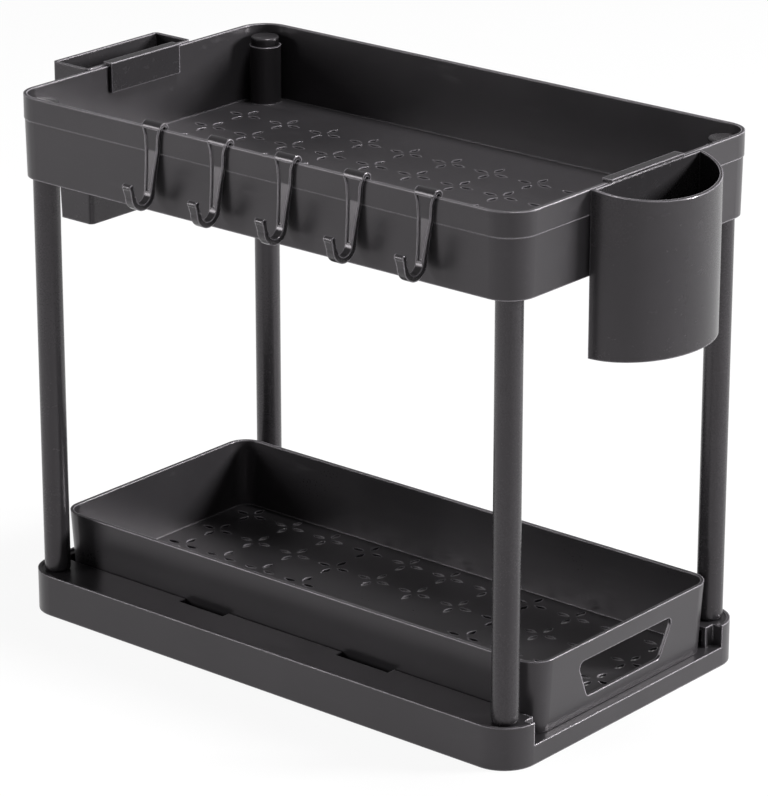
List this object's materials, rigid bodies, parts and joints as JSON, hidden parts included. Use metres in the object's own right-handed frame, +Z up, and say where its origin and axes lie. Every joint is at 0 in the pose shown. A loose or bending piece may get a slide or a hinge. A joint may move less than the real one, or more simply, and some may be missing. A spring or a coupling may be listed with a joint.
{
  "type": "under sink organizer",
  "caption": "Two-tier rack with a perforated tray on round posts, a pull-out drawer on a low base, and a cup, a box and hooks that hang on the tray's rim.",
  "frame": {"origin": "centre of the base's underside, on the surface that the organizer stands on", "axes": "+Z up, +X along the length towards the drawer's hand hole, -Y towards the side that carries the hooks"},
  "size_m": [0.4608, 0.255, 0.341],
  "materials": {
    "charcoal_plastic": "satin moulded plastic with a fine texture",
    "tube_plastic": "smooth satin extruded tube",
    "hook_plastic": "smooth semi-gloss moulded plastic"
  },
  "bodies": {
    "rack": {"base": "charcoal_plastic", "upper_tray": "charcoal_plastic", "post_front_left": "tube_plastic", "post_front_right": "tube_plastic", "post_back_left": "tube_plastic", "post_back_right": "tube_plastic", "cap_front_left": "charcoal_plastic", "cap_front_right": "charcoal_plastic", "cap_back_left": "charcoal_plastic", "cap_back_right": "charcoal_plastic"},
    "drawer_body": {"drawer": "charcoal_plastic"},
    "cup_body": {"hanging_cup": "charcoal_plastic"},
    "box_body": {"hanging_box": "charcoal_plastic"},
    "hook_1_body": {"hook_1": "hook_plastic"},
    "hook_2_body": {"hook_2": "hook_plastic"},
    "hook_3_body": {"hook_3": "hook_plastic"},
    "hook_4_body": {"hook_4": "hook_plastic"},
    "hook_5_body": {"hook_5": "hook_plastic"}
  },
  "joints": [
    {"name": "drawer_slide", "type": "slide", "parent": "rack", "child": "drawer_body", "axis": [1, 0, 0], "range_m": [0, 0.165]},
    {"name": "cup_lift", "type": "slide", "parent": "rack", "child": "cup_body", "axis": [0, 0, 1], "range_m": [0, 0.06]},
    {"name": "box_lift", "type": "slide", "parent": "rack", "child": "box_body", "axis": [0, 0, 1], "range_m": [0, 0.06]},
    {"name": "hook_1_lift", "type": "slide", "parent": "rack", "child": "hook_1_body", "axis": [0, 0, 1], "range_m": [0, 0.05]},
    {"name": "hook_2_lift", "type": "slide", "parent": "rack", "child": "hook_2_body", "axis": [0, 0, 1], "range_m": [0, 0.05]},
    {"name": "hook_3_lift", "type": "slide", "parent": "rack", "child": "hook_3_body", "axis": [0, 0, 1], "range_m": [0, 0.05]},
    {"name": "hook_4_lift", "type": "slide", "parent": "rack", "child": "hook_4_body", "axis": [0, 0, 1], "range_m": [0, 0.05]},
    {"name": "hook_5_lift", "type": "slide", "parent": "rack", "child": "hook_5_body", "axis": [0, 0, 1], "range_m": [0, 0.05]}
  ]
}
